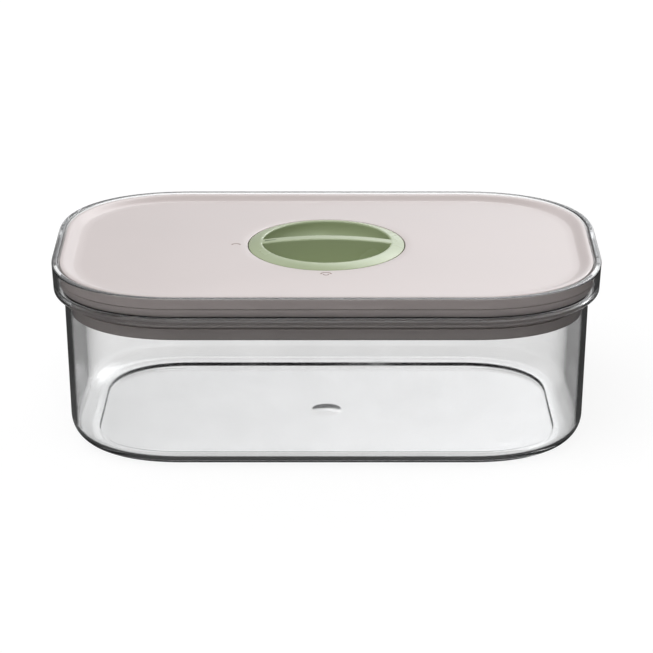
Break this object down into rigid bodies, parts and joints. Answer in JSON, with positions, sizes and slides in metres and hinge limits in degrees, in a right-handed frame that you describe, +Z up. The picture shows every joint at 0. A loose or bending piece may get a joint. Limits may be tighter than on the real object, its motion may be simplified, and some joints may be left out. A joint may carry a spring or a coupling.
{
  "type": "food storage container",
  "caption": "Clear rectangular food box with rounded corners and a flush drop-in lid, whose round twist knob lifts a plate that squeezes a ring gasket against the wall.",
  "frame": {"origin": "middle of the container's underside, on the surface it stands on", "axes": "+X along the length, -Y towards the front, +Z up along the knob's axis"},
  "size_m": [0.23, 0.1416, 0.0784],
  "materials": {
    "clear_body": "clear moulded copolyester, polished",
    "lid_shell": "pale pink-grey, fine satin",
    "lid_shell_lower": "pink-grey, satin",
    "knob_green": "sage green, satin",
    "silicone": "soft silicone, matt",
    "acetal": "natural white acetal",
    "screw_steel": "zinc plated"
  },
  "bodies": {
    "container": {"container": "clear_body"},
    "lid": {"lid_cover": "lid_shell", "lid_frame": "lid_shell_lower", "splash_ring": "silicone", "frame_screw_1": "screw_steel", "frame_screw_2": "screw_steel", "frame_screw_3": "screw_steel", "frame_screw_4": "screw_steel"},
    "knob": {"knob": "knob_green", "cam_cup": "acetal", "knob_screw_1": "screw_steel", "knob_screw_2": "screw_steel", "knob_screw_3": "screw_steel"},
    "plate": {"pressure_plate": "lid_shell_lower", "lift_collar": "acetal", "gasket": "silicone", "collar_screw_1": "screw_steel", "collar_screw_2": "screw_steel", "collar_screw_3": "screw_steel", "collar_screw_4": "screw_steel"}
  },
  "joints": [
    {"name": "lid_lift", "type": "slide", "parent": "container", "child": "lid", "axis": [0, 0, 1], "range_m": [0, 0.08]},
    {"name": "knob_turn", "type": "hinge", "parent": "lid", "child": "knob", "pos_m": [0, 0, 0.0765], "axis": [0, 0, 1], "range_deg": [0, 90]},
    {"name": "plate_drop", "type": "slide", "parent": "lid", "child": "plate", "axis": [0, 0, -1], "range_m": [0, 0.003], "deforming": ["gasket"]}
  ],
  "couplings": [
    {"joint": "plate_drop", "follows": "knob_turn", "m_per_rad": 0.0019098}
  ]
}
